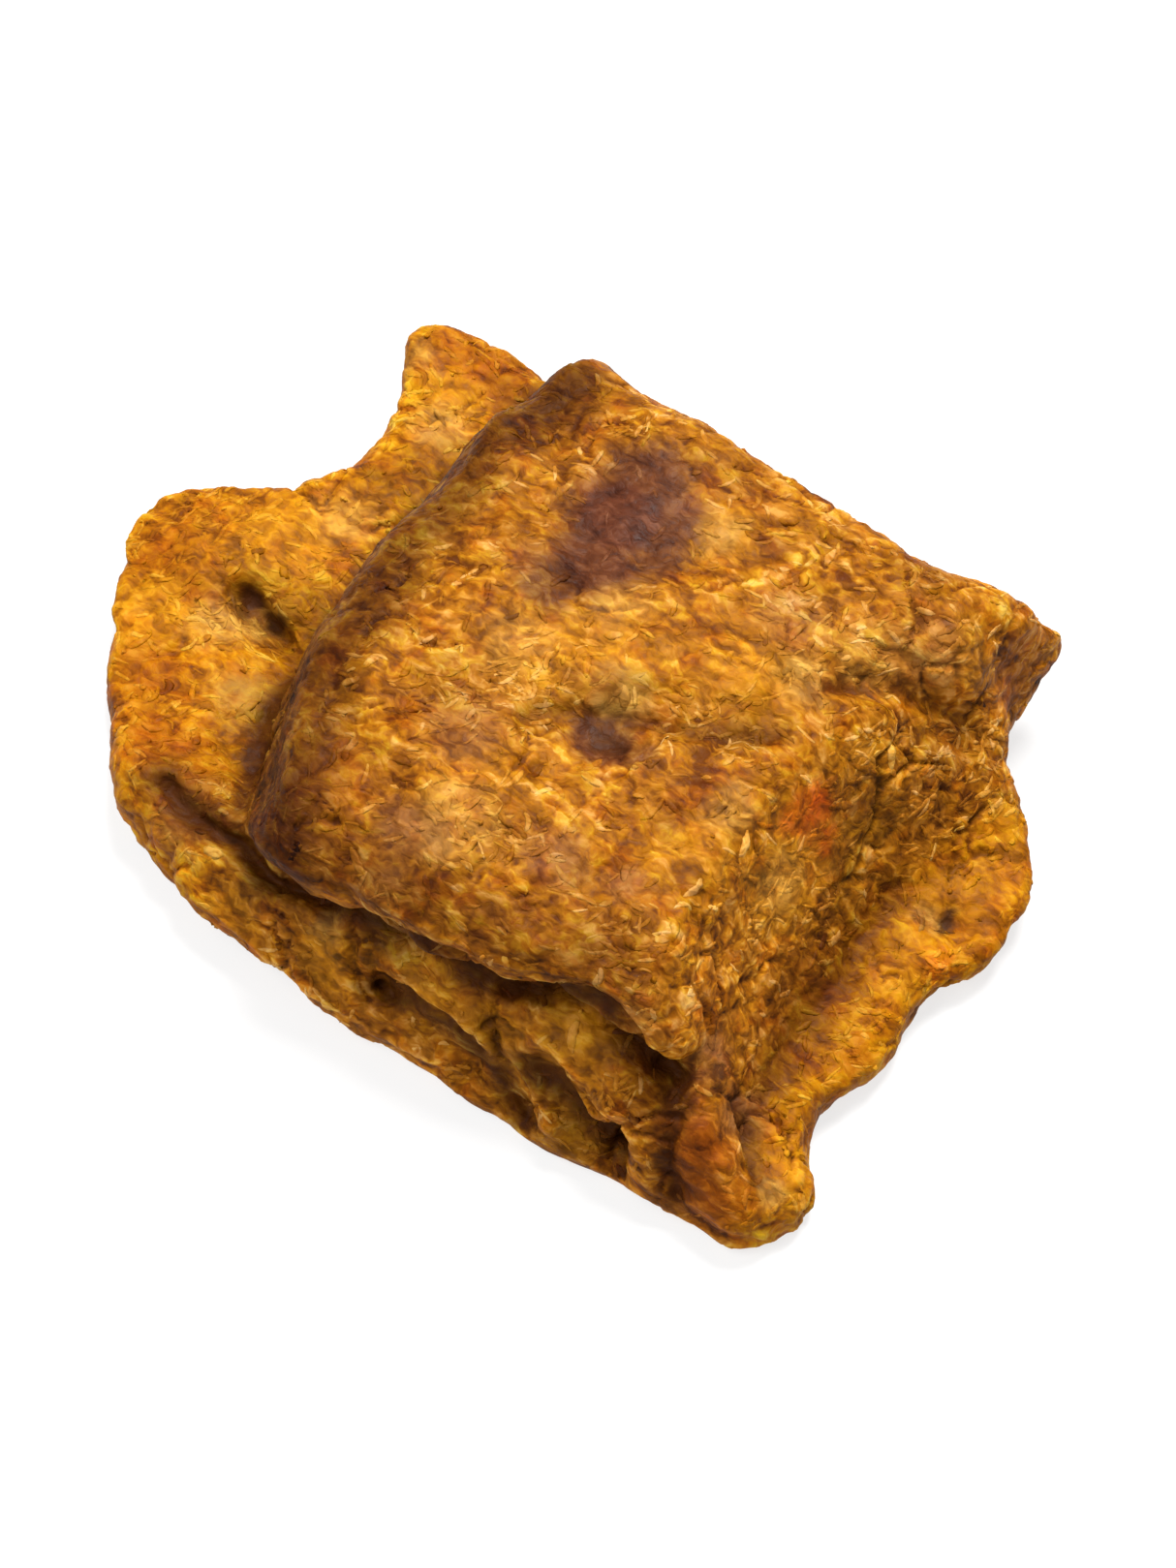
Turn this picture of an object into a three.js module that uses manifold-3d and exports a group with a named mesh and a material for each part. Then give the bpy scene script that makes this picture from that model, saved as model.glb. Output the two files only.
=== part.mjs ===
// A dried camel meat cube: one pillow-shaped chunk cut from a strip of minced, pressed and air-dried meat.
// Millimetres, +Z up. The origin is on the flat underside, under the middle of the pillow. +X runs along
// the strip the cube was cut from: the wide torn flap is at -X and the narrow one at +X. -Y is the pleated
// side that the strip was folded along, and +Y is the plainer side behind.
import * as THREE from "three";
import { ImprovedNoise } from "three/addons/math/ImprovedNoise.js";
import { mergeVertices } from "three/addons/utils/BufferGeometryUtils.js";
import Module from "manifold-3d";

// Driving dimensions.
const PILLOW_TOP = 10.2; // height of the pillow's top near its edges
const PILLOW_CROWN = 1.5; // how much higher the middle of the top is
const PILLOW_HALF_LENGTH = 15; // the crown dies away this far from the middle along X
const PILLOW_HALF_WIDTH = 17; // and this far along Y
const EDGE_ROUND = 3.0; // blend radius of the pillow's upper edges
const FLAP_ROUND = 1.1; // and of the thin flaps' torn edges
const MESH_STEP = [0.84, 0.84, 0.68]; // size of the cells that the skin is meshed in, along X, Y and Z
const NET_MARGIN = 1.5; // free space kept round the solid while it is meshed
const WELD_DISTANCE = 1e-4; // vertices nearer than this are one
const TIGHT_CELL_GAP = 0.02; // how far inside the skin a grid point lies once it is filled
const REST_SINK = 0.5; // how far the soft underside presses past the resting plane before it is trimmed

// The left wall climbs from the wide flap, and the right slope falls to the narrow one. Both lines bow: bow
// is how far a line has moved along +X at BOW_LENGTH from its middle. pull moves the wall in at its front
// corner.
const WALL = { foot: -14.8, run: 3.1, middle: 2.5, bow: 0.8, pull: 1.7, pullFrom: -3, pullTo: -11 };
const SLOPE = { shoulder: 8.6, run: 6.6, middle: -1.5, bow: 1.9 };
const BOW_LENGTH = 10;

// The flaps' upper faces: height at the pillow's foot, and fall for each millimetre further out. The wide
// flap's front corner climbs to meet the pleats.
const WIDE_FLAP = { top: 2.9, fall: 0.09, climb: 2.2, climbFrom: -5.5, climbTo: -11.5 };
const NARROW_FLAP = { top: 3.0, fall: 0.16 };

// The torn outline seen from above, anticlockwise from the back of the wide flap's small tab.
const OUTLINE = [
  // the tab, and the long tear of the wide flap round to its front corner
  [-15.6, 18.8], [-19.0, 18.6], [-20.9, 17.0], [-19.2, 13.4], [-18.9, 10.5], [-20.2, 7.6], [-24.6, 5.0],
  [-26.7, 2.1], [-25.3, -1.4], [-23.0, -5.2], [-20.6, -8.0], [-18.4, -10.8],
  // the pleated front
  [-15.4, -12.6], [-12.0, -13.3], [-4.0, -14.3], [2.0, -14.9], [7.8, -15.2], [12.9, -14.8], [15.4, -14.8],
  // the narrow flap's knob, bites and lobes, round to the ear
  [17.4, -15.0], [19.2, -13.1], [19.4, -10.9], [17.7, -9.3], [17.4, -7.4], [18.8, -4.3], [18.5, -1.2],
  [19.1, 1.2], [20.4, 3.6], [20.1, 7.0], [18.4, 9.6], [15.8, 11.6], [14.6, 13.4],
  // the ear and the back
  [14.9, 15.6], [15.2, 18.2], [12.8, 17.4], [8.0, 16.5], [1.5, 16.7], [-5.5, 17.5], [-11.0, 18.0],
];
const OUTLINE_STEPS = 220;

// The upright walls count as front and back past these places along Y.
const FRONT = { from: -6, to: -10 };
const BACK = { from: 8, to: 12 };

// The front leans in from the bulging lower fold up to the crease under the lip. The inset is how far in the
// crease lies at x = 0, with its growth for each millimetre of x, and it is deepest at a notch.
const FRONT_LEAN = { foot: 1.2, inset: 2.1, growth: 0.09, notchAt: 6.5, notchHalf: 3.2, notchInset: 1.3 };
const CREASE = { height: 6.5, climb: 0.06 };
const LIP_OVERHANG = 0.5; // how far the lip comes out again over the crease
const LIP_RISE = 1.6; // and over what height
const BACK_LEAN = { from: 3.0, to: 8.0, inset: 0.7 };

// Grooves and swellings of the two walls. Each follows a path of x and z, and presses in by depth (or swells
// out, where depth is below 0) over its half width.
const FRONT_PLEATS = [
  { path: [[-16, 4.9], [-8, 6.0], [0, 6.5], [7, 6.9], [14, 6.6]], half: 0.75, depth: 1.5 }, // under the lip
  { path: [[-2.3, 4.2], [4.7, 2.1]], half: 0.6, depth: 1.2 }, // the long slit
  { path: [[4.4, 5.4], [6.6, 1.6]], half: 0.6, depth: 1.2 }, // the steep slit
  { path: [[7.4, 4.4], [11.3, 2.0]], half: 0.75, depth: 1.8 }, // the widest slit
  { path: [[7.4, 5.9], [10.4, 4.9]], half: 1.0, depth: -1.0 }, // the swollen fold over it
  { path: [[-12, 2.6], [-3, 2.2]], half: 1.3, depth: -0.5 }, // the rolled lower fold
];
const BACK_PLEATS = [
  { path: [[-10, 5.4], [2, 5.0], [13, 4.4]], half: 0.9, depth: 1.2 },
  { path: [[-7, 2.4], [5, 2.8]], half: 0.6, depth: 0.8 },
  { path: [[-2, 7.3], [12, 7.6]], half: 0.7, depth: 0.6 },
];

// Swellings and hollows of the top: place, half sizes along and across, turn in degrees, and height.
const TOP_FORMS = [
  { x: -3.7, y: 8.6, along: 3.8, across: 3.0, turn: 80, height: -0.6 }, // the sunken lean scab
  { x: -3.3, y: 9.9, along: 2.0, across: 1.7, turn: 80, height: 0.4 }, // its smooth middle
  { x: 2.4, y: -1.0, along: 1.8, across: 1.1, turn: 23, height: -1.0 }, // the small dark pit
  { x: 4.6, y: 2.0, along: 4.8, across: 0.9, turn: 30, height: -0.7 }, // the valley that leaves the pit
  { x: 12.2, y: 9.8, along: 3.8, across: 1.2, turn: 32, height: -1.8 }, // the fold in front of the ear
  { x: 9.0, y: 14.2, along: 5.5, across: 1.8, turn: 18, height: 0.8 }, // the ear's ridge
  { x: 16.0, y: 16.4, along: 2.4, across: 1.6, turn: 30, height: -1.5 }, // its falling tip
  { x: -1.5, y: -7.6, along: 6.0, across: 3.2, turn: -8, height: 0.5 }, // the broad swelling near the lip
  { x: -8.0, y: -1.0, along: 4.0, across: 2.6, turn: 70, height: 0.4 }, // the swelling along the left edge
  { x: 10.2, y: -3.5, along: 6.0, across: 1.7, turn: 96, height: 0.6 }, // the shoulder over the narrow flap
  { x: 6.2, y: -6.0, along: 3.5, across: 1.3, turn: 75, height: -0.5 }, // the hollow inside the shoulder
  { x: -2.0, y: 14.6, along: 6.0, across: 1.8, turn: 0, height: 0.5 }, // the back ridge
  { x: -9.4, y: 12.6, along: 1.6, across: 2.6, turn: 0, height: -0.6 }, // the pinch at the back corner
  { x: 15.6, y: -13.9, along: 1.7, across: 1.6, turn: 0, height: 1.9 }, // the knob at the front corner
  { x: 17.0, y: -11.6, along: 0.8, across: 1.6, turn: 20, height: -0.6 }, // the dip beside the knob
  { x: 17.6, y: 3.3, along: 0.9, across: 0.8, turn: 0, height: -1.0 }, // the hole in the narrow flap
  { x: -17.2, y: -0.2, along: 1.9, across: 0.8, turn: -16, height: -1.5 }, // the dark hole in the wide flap
  { x: -15.6, y: 1.0, along: 6.5, across: 0.8, turn: 88, height: -0.6 }, // the dip along the wall's foot
  { x: -19.8, y: 16.9, along: 2.6, across: 2.2, turn: 0, height: 1.0 }, // the tab's curl
  { x: -22.4, y: 0.8, along: 2.6, across: 2.4, turn: 0, height: 0.5 }, // the wide flap's thick lobe
];

// Where the flaps' undersides lift off the resting plane: place, half size and height.
const LIFTS = [
  { x: -24.0, y: 1.0, reach: 8.0, height: 1.0 },
  { x: -19.0, y: 16.5, reach: 5.5, height: 0.9 },
  { x: 20.5, y: 5.5, reach: 5.0, height: 1.2 },
  { x: 16.5, y: 17.8, reach: 5.5, height: 3.6 },
  { x: 20.0, y: -5.0, reach: 3.0, height: 0.7 },
];

// Meat relief: wavelength and depth of the lumps and of the coarse grain, weaker on the flaps.
const RELIEF = [
  { wave: 5.2, depth: 0.55 },
  { wave: 2.3, depth: 0.34 },
];
const FLAP_RELIEF = 0.6;
const TEAR = { wave: 2.1, depth: 0.55 }; // how ragged the torn edges are
const WALL_RELIEF = 0.45; // share of that on the front and the back

const noise = new ImprovedNoise();

// 0 before from, 1 past to, and smooth between them. from may be the larger of the two.
function smoothstep(from, to, v) {
  const t = THREE.MathUtils.clamp((v - from) / (to - from), 0, 1);
  return t * t * (3 - 2 * t);
}

function bell(v) {
  return Math.exp(-v * v);
}

// The larger of two distances, with the corner between them rounded over a radius.
function roundedMax(a, b, radius) {
  const near = Math.max(radius - Math.abs(a - b), 0) / radius;
  return Math.max(a, b) + (near * near * radius) / 4;
}

// Distance from a place to a path of straight stretches.
function pathDistance(path, u, v) {
  let nearest = Infinity;
  for (let i = 0; i + 1 < path.length; i++) {
    const [startU, startV] = path[i];
    const du = path[i + 1][0] - startU;
    const dv = path[i + 1][1] - startV;
    const t = THREE.MathUtils.clamp(((u - startU) * du + (v - startV) * dv) / (du * du + dv * dv), 0, 1);
    nearest = Math.min(nearest, Math.hypot(u - startU - t * du, v - startV - t * dv));
  }
  return nearest;
}

const outline = new THREE.CatmullRomCurve3(
  OUTLINE.map(([x, y]) => new THREE.Vector3(x, y, 0)),
  true,
)
  .getSpacedPoints(OUTLINE_STEPS)
  .map((point) => [point.x, point.y]);

// Distance from a place to the torn outline, below 0 inside it.
function outlineDistance(x, y) {
  let inside = false;
  for (let i = 0; i + 1 < outline.length; i++) {
    const [ax, ay] = outline[i];
    const [bx, by] = outline[i + 1];
    if (ay > y !== by > y && x < ax + ((bx - ax) * (y - ay)) / (by - ay)) inside = !inside;
  }
  return pathDistance(outline, x, y) * (inside ? -1 : 1);
}

// 1 in the middle of an oval form, falling smoothly to nothing about two half sizes out.
function ovalWeight(form, x, y) {
  const turn = THREE.MathUtils.degToRad(form.turn);
  const dx = x - form.x;
  const dy = y - form.y;
  const along = (dx * Math.cos(turn) + dy * Math.sin(turn)) / form.along;
  const across = (-dx * Math.sin(turn) + dy * Math.cos(turn)) / form.across;
  return bell(Math.hypot(along, across));
}

function wallFoot(y) {
  const bow = WALL.bow * ((y - WALL.middle) / BOW_LENGTH) ** 2;
  return WALL.foot + bow + WALL.pull * smoothstep(WALL.pullFrom, WALL.pullTo, y);
}

function slopeShoulder(y) {
  return SLOPE.shoulder + SLOPE.bow * ((y - SLOPE.middle) / BOW_LENGTH) ** 2;
}

// 1 on the pillow and 0 on the flaps.
function pillowShare(x, y) {
  const foot = wallFoot(y);
  const shoulder = slopeShoulder(y);
  return smoothstep(foot, foot + WALL.run, x) * (1 - smoothstep(shoulder, shoulder + SLOPE.run, x));
}

// Height of the flap on whichever side a place lies.
function flapTop(x, y) {
  if (x > 0) return NARROW_FLAP.top - NARROW_FLAP.fall * Math.max(x - slopeShoulder(y) - SLOPE.run, 0);
  const climb = WIDE_FLAP.climb * smoothstep(WIDE_FLAP.climbFrom, WIDE_FLAP.climbTo, y);
  return WIDE_FLAP.top - WIDE_FLAP.fall * Math.max(wallFoot(y) - x, 0) + climb;
}

function topHeight(x, y) {
  const crownX = Math.max(1 - (x / PILLOW_HALF_LENGTH) ** 2, 0);
  const crownY = Math.max(1 - (y / PILLOW_HALF_WIDTH) ** 2, 0);
  const share = pillowShare(x, y);
  let height = THREE.MathUtils.lerp(flapTop(x, y), PILLOW_TOP + PILLOW_CROWN * crownX * crownY, share);
  for (const form of TOP_FORMS) height += form.height * ovalWeight(form, x, y);
  const strength = THREE.MathUtils.lerp(FLAP_RELIEF, 1, share);
  for (const { wave, depth } of RELIEF) height += strength * depth * noise.noise(x / wave, y / wave, wave);
  return height;
}

function bottomHeight(x, y) {
  let height = -REST_SINK;
  for (const lift of LIFTS) {
    height += (lift.height + REST_SINK) * bell(Math.hypot(x - lift.x, y - lift.y) / lift.reach);
  }
  return height;
}

// How far the pleats of one side press in at a place along it and up it.
function pleatDepth(pleats, x, z) {
  let depth = 0;
  for (const pleat of pleats) depth += pleat.depth * bell(pathDistance(pleat.path, x, z) / pleat.half);
  return depth;
}

// How far in the front lies: nothing at the lower fold, most at the crease, a little less at the lip.
function frontInset(x, z) {
  const notch = FRONT_LEAN.notchInset * bell((x - FRONT_LEAN.notchAt) / FRONT_LEAN.notchHalf);
  const most = FRONT_LEAN.inset + FRONT_LEAN.growth * x + notch;
  const crease = CREASE.height + CREASE.climb * x;
  const rise = THREE.MathUtils.clamp((z - FRONT_LEAN.foot) / (crease - FRONT_LEAN.foot), 0, 1);
  return most * rise * rise - LIP_OVERHANG * smoothstep(crease, crease + LIP_RISE, z);
}

function backInset(z) {
  return BACK_LEAN.inset * smoothstep(BACK_LEAN.from, BACK_LEAN.to, z);
}

// Distance to the side walls: the outline, with the walls' lean, pleats and raggedness.
function wallDistance(x, y, z, toOutline) {
  const front = smoothstep(FRONT.from, FRONT.to, y);
  const back = smoothstep(BACK.from, BACK.to, y);
  const ragged = noise.noise(x / TEAR.wave, y / TEAR.wave, z / TEAR.wave);
  const torn = THREE.MathUtils.lerp(1, WALL_RELIEF, Math.max(front, back));
  let distance = toOutline + torn * TEAR.depth * ragged;
  if (front > 0) distance += front * (frontInset(x, z) + pleatDepth(FRONT_PLEATS, x, z));
  if (back > 0) distance += back * (backInset(z) + pleatDepth(BACK_PLEATS, x, z));
  return distance;
}

const CORNERS = [0, 1, 2, 3, 4, 5, 6, 7].map((c) => [c & 1, (c >> 1) & 1, c >> 2]);
const CELL_EDGES = CORNERS.flatMap((_, corner) =>
  [1, 2, 4].filter((bit) => !(corner & bit)).map((bit) => [corner, corner | bit]),
);

// Whether the corners of a cell that are in a set hang together along its edges.
function hangTogether(inSet) {
  const start = inSet.indexOf(true);
  const reached = new Set([start]);
  for (const corner of reached)
    for (const bit of [1, 2, 4]) if (inSet[corner ^ bit]) reached.add(corner ^ bit);
  return start < 0 || reached.size === inSet.filter(Boolean).length;
}

// Where the skin would touch itself inside one cell, the empty corner nearest to the skin is filled.
function fillTightCells(value, count, index) {
  for (let changed = true; changed; ) {
    changed = false;
    for (let k = 0; k + 1 < count[2]; k++)
      for (let j = 0; j + 1 < count[1]; j++)
        for (let i = 0; i + 1 < count[0]; i++) {
          const at = CORNERS.map(([a, b, c]) => index(i + a, j + b, k + c));
          const within = at.map((n) => value[n] < 0);
          if (hangTogether(within) && hangTogether(within.map((v) => !v))) continue;
          const empty = at.filter((n) => value[n] >= 0);
          const nearest = empty.reduce((a, b) => (value[b] < value[a] ? b : a));
          value[nearest] = -TIGHT_CELL_GAP;
          changed = true;
        }
  }
}

// A closed skin where field is 0, as one quad round each cell edge that the skin crosses. field is below 0
// inside.
function meshField(columnField, low, high, step) {
  const count = [0, 1, 2].map((d) => Math.ceil((high[d] - low[d]) / step[d]) + 1);
  const index = (i, j, k) => (k * count[1] + j) * count[0] + i;
  const value = new Float64Array(count[0] * count[1] * count[2]);
  for (let j = 0; j < count[1]; j++)
    for (let i = 0; i < count[0]; i++) {
      const field = columnField(low[0] + i * step[0], low[1] + j * step[1]);
      for (let k = 0; k < count[2]; k++) value[index(i, j, k)] = field(low[2] + k * step[2]);
    }
  fillTightCells(value, count, index);

  // One vertex in each crossed cell, at the mean of its edges' crossings.
  const positions = [];
  const vertexOf = new Map();
  for (let k = 0; k + 1 < count[2]; k++)
    for (let j = 0; j + 1 < count[1]; j++)
      for (let i = 0; i + 1 < count[0]; i++) {
        const v = CORNERS.map(([a, b, c]) => value[index(i + a, j + b, k + c)]);
        const crossed = CELL_EDGES.filter(([a, b]) => v[a] < 0 !== v[b] < 0);
        if (!crossed.length) continue;
        const place = [i, j, k];
        for (const [a, b] of crossed) {
          const t = v[a] / (v[a] - v[b]);
          for (let d = 0; d < 3; d++) {
            const along = CORNERS[a][d] + t * (CORNERS[b][d] - CORNERS[a][d]);
            place[d] += along / crossed.length;
          }
        }
        vertexOf.set(index(i, j, k), positions.length / 3);
        positions.push(...place.map((n, d) => low[d] + n * step[d]));
      }

  // One quad round each crossed grid edge, facing out.
  const faces = [];
  for (let k = 1; k + 1 < count[2]; k++)
    for (let j = 1; j + 1 < count[1]; j++)
      for (let i = 1; i + 1 < count[0]; i++)
        for (let d = 0; d < 3; d++) {
          const [along, p, q] = [0, 1, 2].map((turn) => CORNERS[1 << (d + turn) % 3]);
          const here = value[index(i, j, k)] < 0;
          if (here === value[index(i + along[0], j + along[1], k + along[2])] < 0) continue;
          const cell = (a, b) =>
            vertexOf.get(index(i - a * p[0] - b * q[0], j - a * p[1] - b * q[1], k - a * p[2] - b * q[2]));
          const ring = [cell(1, 1), cell(0, 1), cell(0, 0), cell(1, 0)];
          if (!here) ring.reverse();
          faces.push(ring[0], ring[1], ring[2], ring[0], ring[2], ring[3]);
        }
  const geometry = new THREE.BufferGeometry();
  geometry.setAttribute("position", new THREE.Float32BufferAttribute(positions, 3));
  geometry.setIndex(faces);
  return geometry;
}

// The whole chunk as a field, one upright line at a time, because most of it doesn't change with height.
function chunkColumn(x, y) {
  const toOutline = outlineDistance(x, y);
  const top = topHeight(x, y);
  const bottom = bottomHeight(x, y);
  const round = THREE.MathUtils.lerp(FLAP_ROUND, EDGE_ROUND, pillowShare(x, y));
  return (z) => {
    const side = wallDistance(x, y, z, toOutline);
    return roundedMax(roundedMax(side, z - top, round), bottom - z, FLAP_ROUND);
  };
}

const wasm = await Module();
wasm.setup();

function toSolid(geometry) {
  const bare = geometry.clone();
  bare.deleteAttribute("normal");
  bare.deleteAttribute("uv");
  const merged = mergeVertices(bare, WELD_DISTANCE);
  return new wasm.Manifold(
    new wasm.Mesh({
      numProp: 3,
      vertProperties: new Float32Array(merged.attributes.position.array),
      triVerts: new Uint32Array(merged.index.array),
    }),
  );
}

function toGeometry(solid) {
  const mesh = solid.getMesh();
  const geometry = new THREE.BufferGeometry();
  geometry.setAttribute("position", new THREE.BufferAttribute(mesh.vertProperties, 3));
  geometry.setIndex(new THREE.BufferAttribute(mesh.triVerts, 1));
  geometry.computeVertexNormals();
  return geometry;
}

function meatChunk() {
  const box = new THREE.Box3().setFromPoints(outline.map(([x, y]) => new THREE.Vector3(x, y, 0)));
  box.expandByScalar(NET_MARGIN);
  const low = [box.min.x, box.min.y, -NET_MARGIN - REST_SINK];
  const high = [box.max.x, box.max.y, PILLOW_TOP + PILLOW_CROWN + NET_MARGIN];
  const skin = toSolid(meshField(chunkColumn, low, high, MESH_STEP));
  // The chunk has dried flat against its rack, so everything below the resting plane is cut away.
  const size = box.getSize(new THREE.Vector3());
  const above = new THREE.BoxGeometry(2 * size.x, 2 * size.y, 2 * size.x).translate(0, 0, size.x);
  return toGeometry(skin.intersect(toSolid(above)));
}

const driedMeat = new THREE.MeshStandardMaterial({ name: "dried_meat", color: 0xa26823, roughness: 0.62 });
const cube = new THREE.Mesh(meatChunk(), driedMeat);
cube.name = "meat_cube";

const group = new THREE.Group();
group.add(cube);
export default group;
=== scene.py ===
"""The looks of one dried camel meat cube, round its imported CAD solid.

Lengths are in millimetres until a mesh is finished, and MM turns them to metres there. Marks on the meat
that the photograph shows are placed by its pixels: a ray from the camera finds the spot on the solid.
"""

import math

import bmesh
import bpy
import numpy as np
from mathutils import Matrix, Vector
from mathutils.bvhtree import BVHTree
from mathutils.kdtree import KDTree

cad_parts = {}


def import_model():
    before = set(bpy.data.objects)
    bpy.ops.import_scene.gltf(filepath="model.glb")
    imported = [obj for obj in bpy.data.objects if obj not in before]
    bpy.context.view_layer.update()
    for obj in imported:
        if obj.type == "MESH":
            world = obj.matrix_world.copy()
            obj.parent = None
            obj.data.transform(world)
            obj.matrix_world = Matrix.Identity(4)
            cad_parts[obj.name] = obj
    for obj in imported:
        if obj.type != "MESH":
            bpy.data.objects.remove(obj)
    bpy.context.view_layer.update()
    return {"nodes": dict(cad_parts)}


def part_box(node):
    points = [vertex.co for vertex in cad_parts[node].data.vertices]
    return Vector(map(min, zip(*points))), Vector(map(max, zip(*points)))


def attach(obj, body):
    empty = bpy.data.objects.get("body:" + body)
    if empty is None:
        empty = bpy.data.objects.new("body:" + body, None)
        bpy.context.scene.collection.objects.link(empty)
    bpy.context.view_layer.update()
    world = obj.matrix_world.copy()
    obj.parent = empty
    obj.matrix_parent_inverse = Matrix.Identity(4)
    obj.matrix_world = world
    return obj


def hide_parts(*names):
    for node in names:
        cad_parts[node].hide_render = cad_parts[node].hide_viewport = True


MM = 0.001
SEED = 11
TINY = 1e-9  # keeps a length of nothing from being divided by

# The photograph's view, in degrees: its camera looks along +Y turned by the azimuth, down by the elevation.
AZIMUTH = 33
ELEVATION = 60
CAMERA_DISTANCE = 300.0
CAMERA_CLIP = (0.01, 20)  # in metres
PHOTO_SCALE = 5.8  # pixels to the millimetre
PHOTO_CENTRE = (1010, 895)  # the pixel that the camera looks at
PHOTO_ORIGIN = (1008, 905)  # the pixel of the CAD's origin
PICTURE_WIDTH = 54.0  # millimetres across the picture at the camera's target
SENSOR_WIDTH = 36.0

# The skin.
WELD_DISTANCE = 1e-3
ROUGH_VOXEL = 0.3
FINE_VOXEL = 0.187
FACET_ROUNDS = 24  # rounds of smoothing that take the solid's facets away
FACET_SHARES = (0.5, -0.545)  # each of them smooths, then unshrinks
STAIR_ROUNDS = 3  # rounds that take the voxels' steps away
PLAIN_SHARES = (0.6,)
SOLE_HEIGHT = 0.35  # the flat sole keeps its place up to here
SOLE_FLAT = 0.06  # what is lower than this and faces down is the sole
SOLE_FACING = -0.9
SOLE_TOLERANCE = 1e-4
RELIEF_HEIGHTS = (0.05, 0.85)  # relief comes in between these heights
INSIDE = 0.0005  # the skin stays this far inside the CAD's box

# The crease under the front lip and the lip's face, as pixels of the photograph.
CREASE = [(898, 895), (906, 904), (916, 910), (924, 920), (938, 924.5), (952, 930.5), (967, 937.5),
          (979, 943.5), (992, 949), (1005, 949.5), (1015, 953.5), (1023, 962.5), (1029.5, 969), (1034, 973)]
LIP_FACE = [(920, 902), (940, 914), (960, 923), (980, 931), (1000, 939), (1018, 947)]

# Lines of the skin: path in pixels of the photograph, half width, depth (below 0 it stands out), darkness
# of the shade painted into the line.
LINES = [
    # the crease under the lip, to the knob, and on down beside it
    (CREASE, 0.5, 0.95, 1.0),
    ([(1034, 973), (1032.8, 982), (1031.6, 993), (1033, 1004)], 0.45, 0.6, 0.9),
    # the slits of the front
    ([(953.6, 948.4), (966.8, 954.4), (976.4, 963), (986, 971.5), (993, 983)], 0.42, 0.95, 1.0),
    ([(984.3, 958), (988.8, 970.7), (996, 983)], 0.35, 0.6, 0.8),
    ([(995.5, 970), (1005, 976), (1014.8, 985.5), (1019.6, 991.5)], 0.6, 1.15, 1.0),
    # the fold in front of the ear, and the short one below it
    ([(1075.4, 869.3), (1086, 867), (1093, 869.5), (1101, 873), (1109, 878), (1117, 883)], 0.45, 0.4, 0.1),
    ([(1095, 880), (1103, 881), (1110, 884)], 0.45, 0.35, 0.2),
    # the valley from the small pit towards the ear
    ([(993.2, 876.4), (1005.7, 875.2), (1021.8, 877.9), (1037.9, 881.4), (1054, 883), (1061, 882)],
     0.4, 0.35, 0.5),
    # the foot of the slope over the narrow flap
    ([(1091.4, 924.3), (1083, 938), (1074, 951), (1064, 964), (1055.7, 978)], 0.7, 0.3, 0.5),
    # the right side of the knob
    ([(1050.4, 979.6), (1052.5, 990), (1054.8, 1001)], 0.4, 0.45, 0.6),
    # the hole in the wide flap, which runs to the wall's foot
    ([(919, 844), (920.5, 847)], 0.7, 0.9, 0.8),
    ([(920, 846), (924, 851), (928.5, 855), (932.5, 862)], 0.4, 0.8, 0.6),
    # the lip's edge, the swollen fold, the thin fold between the slits, and the roll along the bottom
    ([(926, 911), (940, 917), (954, 923), (968, 930), (982, 936), (1000, 941), (1014, 945), (1025, 954),
      (1034, 965)], 0.9, -0.3, 0.0),
    ([(996, 954), (1008, 957.5), (1017, 965), (1023, 974)], 1.0, -0.4, 0.0),
    ([(987, 958), (993, 971), (999, 984)], 0.4, -0.25, 0.0),
    ([(900, 917), (925, 938), (955, 962), (985, 985), (1015, 1002)], 0.8, -0.2, 0.0),
]
SHADE_SPREAD = 1.8  # a line's painted shade spreads over this many times its half width
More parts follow.
